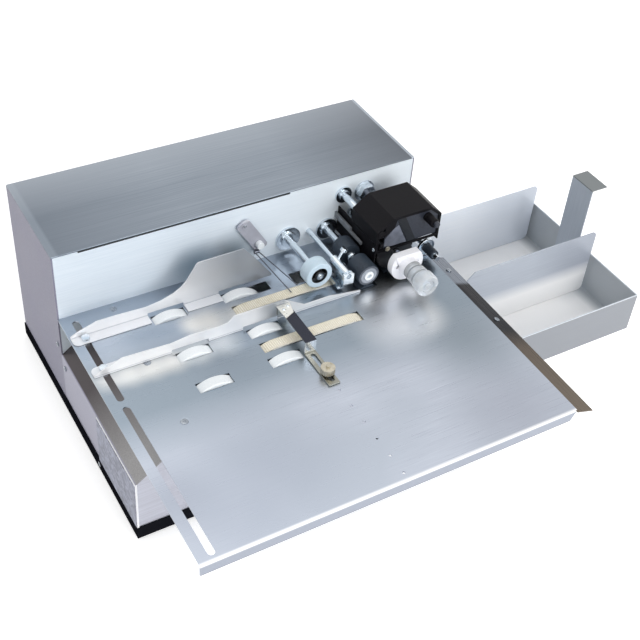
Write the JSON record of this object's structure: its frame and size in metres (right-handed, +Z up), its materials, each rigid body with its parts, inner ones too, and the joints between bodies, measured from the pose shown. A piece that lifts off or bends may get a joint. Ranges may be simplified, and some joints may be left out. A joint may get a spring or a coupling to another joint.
{
  "type": "date coding machine",
  "caption": "Desk date coding machine: belt and wheel feed table with sliding hopper guides, pull rollers, a hot ink-roll print head under a black cover, and a side tray with dividers.",
  "frame": {"origin": "on the desk, at the bottom centre of the whole machine with its tray", "axes": "+X along the housing towards the tray, +Y back through the housing, +Z up"},
  "size_m": [0.6104, 0.4501, 0.2026],
  "materials": {
    "black_paint": "black powder coat on sheet steel",
    "rubber": "matt black rubber",
    "panel_lilac": "fine satin lilac-grey coating",
    "brushed_dark": "stainless steel brushed along the length",
    "panel_pale": "pale blue-grey satin coating",
    "brushed": "stainless steel sheet with a fine brushed grain",
    "zinc": "zinc-plated steel",
    "chrome": "bright plated steel",
    "polished": "polished stainless sheet",
    "white_nylon": "turned white nylon",
    "cream_belt": "cream polyurethane belt",
    "black_plastic": "moulded black plastic",
    "grey_tyre": "soft blue-grey rubber tyre",
    "satin_black": "satin black coating",
    "ink_black": "solid ink roll, near black",
    "clear_plastic": "clear acrylic"
  },
  "bodies": {
    "machine": {"base_pan": "black_paint", "rubber_feet": "rubber", "left_end_panel": "panel_lilac", "right_end_panel": "panel_lilac", "back_panel": "panel_lilac", "top_cover": "brushed_dark", "housing_front_plate": "panel_pale", "left_lower_panel": "brushed", "right_lower_panel": "brushed", "lower_front_panel": "brushed", "side_access_plate": "zinc", "table_plate": "brushed", "exit_strip": "brushed", "panel_screws": "chrome", "back_feed_belt": "cream_belt", "front_feed_belt": "cream_belt", "front_bearing_plate": "zinc", "bearing_flanges": "chrome", "head_side_plate": "satin_black", "cover_rod": "chrome", "separator_rod": "chrome", "tension_bar": "polished", "lever_bar": "zinc", "tray": "brushed", "gear_motor": "black_paint", "inlet_socket": "black_plastic"},
    "back_guide_body": {"back_guide": "polished", "back_guide_clamp": "chrome"},
    "front_guide_body": {"front_guide": "polished", "guide_strap": "polished", "front_guide_clamp": "chrome"},
    "thumb_nut": {"guide_thumb_nut": "chrome"},
    "wheel_roller": {"left_feed_wheels": "white_nylon", "wheel_shaft": "chrome"},
    "belt_drive": {"right_feed_wheels": "white_nylon", "belt_drive_shaft": "chrome"},
    "belt_idler": {"belt_idler_shaft": "chrome"},
    "feed_roller": {"feed_shaft": "chrome", "feed_roller_hub": "black_plastic", "feed_roller_tyre": "grey_tyre"},
    "pull_roller": {"pull_shaft": "chrome", "pull_rollers": "rubber"},
    "lower_pull": {"lower_pull_roller": "rubber"},
    "print_wheel": {"print_shaft": "chrome", "print_drum": "satin_black", "hand_flange": "white_nylon", "hand_knob": "clear_plastic"},
    "impression": {"impression_roller": "rubber"},
    "ink_carrier": {"ink_arm": "zinc"},
    "ink": {"ink_roll": "ink_black"},
    "cover": {"head_cover": "satin_black"},
    "separator": {"separator_arm": "polished"},
    "separator_knob": {"separator_screw": "chrome"},
    "fingers": {"finger_wires": "chrome"},
    "lever_knob": {"lever_screw": "white_nylon"},
    "exit_wheel": {"exit_roller": "chrome"},
    "front_divider_body": {"front_divider": "brushed"},
    "back_divider_body": {"back_divider": "brushed"},
    "stop": {"tray_stop": "brushed"},
    "rocker": {"power_switch": "black_plastic"}
  },
  "joints": [
    {"name": "back_guide_slide", "type": "slide", "parent": "machine", "child": "back_guide_body", "axis": [0, 1, 0], "range_m": [-0.012, 0.018]},
    {"name": "front_guide_slide", "type": "slide", "parent": "machine", "child": "front_guide_body", "axis": [0, 1, 0], "range_m": [-0.012, 0.008]},
    {"name": "thumb_nut_turn", "type": "hinge", "parent": "machine", "child": "thumb_nut", "pos_m": [-0.10745, -0.08275, 0.1266], "axis": [0, 0, 1], "range_deg": [-180, 180]},
    {"name": "wheel_shaft_spin", "type": "hinge", "parent": "machine", "child": "wheel_roller", "pos_m": [-0.20605, 0.01525, 0.1002], "axis": [0, 1, 0], "continuous": true},
    {"name": "belt_drive_spin", "type": "hinge", "parent": "machine", "child": "belt_drive", "pos_m": [-0.13155, 0.01525, 0.1002], "axis": [0, 1, 0], "continuous": true},
    {"name": "belt_idler_spin", "type": "hinge", "parent": "machine", "child": "belt_idler", "pos_m": [-0.05055, 0.01525, 0.1002], "axis": [0, 1, 0], "continuous": true},
    {"name": "feed_roller_spin", "type": "hinge", "parent": "machine", "child": "feed_roller", "pos_m": [-0.05405, 0.03525, 0.1436], "axis": [0, 1, 0], "continuous": true},
    {"name": "pull_roller_spin", "type": "hinge", "parent": "machine", "child": "pull_roller", "pos_m": [-0.00775, 0.03525, 0.1421], "axis": [0, 1, 0], "continuous": true},
    {"name": "lower_pull_spin", "type": "hinge", "parent": "machine", "child": "lower_pull", "pos_m": [-0.00775, 0.03525, 0.1178], "axis": [0, 1, 0], "continuous": true},
    {"name": "print_wheel_spin", "type": "hinge", "parent": "machine", "child": "print_wheel", "pos_m": [0.03045, 0.03525, 0.1516], "axis": [0, 1, 0], "continuous": true},
    {"name": "impression_spin", "type": "hinge", "parent": "machine", "child": "impression", "pos_m": [0.03045, 0.03525, 0.1178], "axis": [0, 1, 0], "continuous": true},
    {"name": "ink_arm_lift", "type": "hinge", "parent": "machine", "child": "ink_carrier", "pos_m": [0.03545, 0.06525, 0.1779], "axis": [0, -1, 0], "range_deg": [0, 8]},
    {"name": "ink_roll_spin", "type": "hinge", "parent": "ink_carrier", "child": "ink", "pos_m": [0.06155, 0.04525, 0.1724], "axis": [0, 1, 0], "continuous": true},
    {"name": "cover_lift", "type": "hinge", "parent": "machine", "child": "cover", "pos_m": [0.00975, 0.04525, 0.1804], "axis": [0, -1, 0], "range_deg": [0, 80]},
    {"name": "separator_tilt", "type": "hinge", "parent": "machine", "child": "separator", "pos_m": [-0.02885, 0.03525, 0.1452], "axis": [0, -1, 0], "range_deg": [0, 15]},
    {"name": "separator_screw_turn", "type": "hinge", "parent": "separator", "child": "separator_knob", "pos_m": [-0.02885, 0.03775, 0.1452], "axis": [0.5, 0, 0.866], "range_deg": [-180, 180]},
    {"name": "finger_wires_lift", "type": "hinge", "parent": "machine", "child": "fingers", "pos_m": [-0.09455, 0.08695, 0.1451], "axis": [-1, 0, 0], "range_deg": [0, 35]},
    {"name": "lever_screw_turn", "type": "hinge", "parent": "machine", "child": "lever_knob", "pos_m": [-0.09047, 0.09025, 0.15207], "axis": [0, 1, 0], "range_deg": [-180, 180]},
    {"name": "exit_roller_spin", "type": "hinge", "parent": "machine", "child": "exit_wheel", "pos_m": [0.07545, 0.03525, 0.1374], "axis": [0, 1, 0], "continuous": true},
    {"name": "front_divider_slide", "type": "slide", "parent": "machine", "child": "front_divider_body", "axis": [0, 1, 0], "range_m": [-0.05, 0.008]},
    {"name": "back_divider_slide", "type": "slide", "parent": "machine", "child": "back_divider_body", "axis": [0, 1, 0], "range_m": [-0.038, 0.006]},
    {"name": "tray_stop_slide", "type": "slide", "parent": "machine", "child": "stop", "axis": [1, 0, 0], "range_m": [-0.11, 0]},
    {"name": "power_rocker_tilt", "type": "hinge", "parent": "machine", "child": "rocker", "pos_m": [-0.00805, 0.21825, 0.0416], "axis": [1, 0, 0], "range_deg": [0, 15]}
  ],
  "couplings": [
    {"joint": "wheel_shaft_spin", "follows": "belt_drive_spin", "ratio": 1},
    {"joint": "belt_idler_spin", "follows": "belt_drive_spin", "ratio": 1},
    {"joint": "feed_roller_spin", "follows": "belt_drive_spin", "ratio": -1.932},
    {"joint": "lower_pull_spin", "follows": "pull_roller_spin", "ratio": -1},
    {"joint": "impression_spin", "follows": "print_wheel_spin", "ratio": -1.7917},
    {"joint": "ink_roll_spin", "follows": "print_wheel_spin", "ratio": -1.5035}
  ]
}
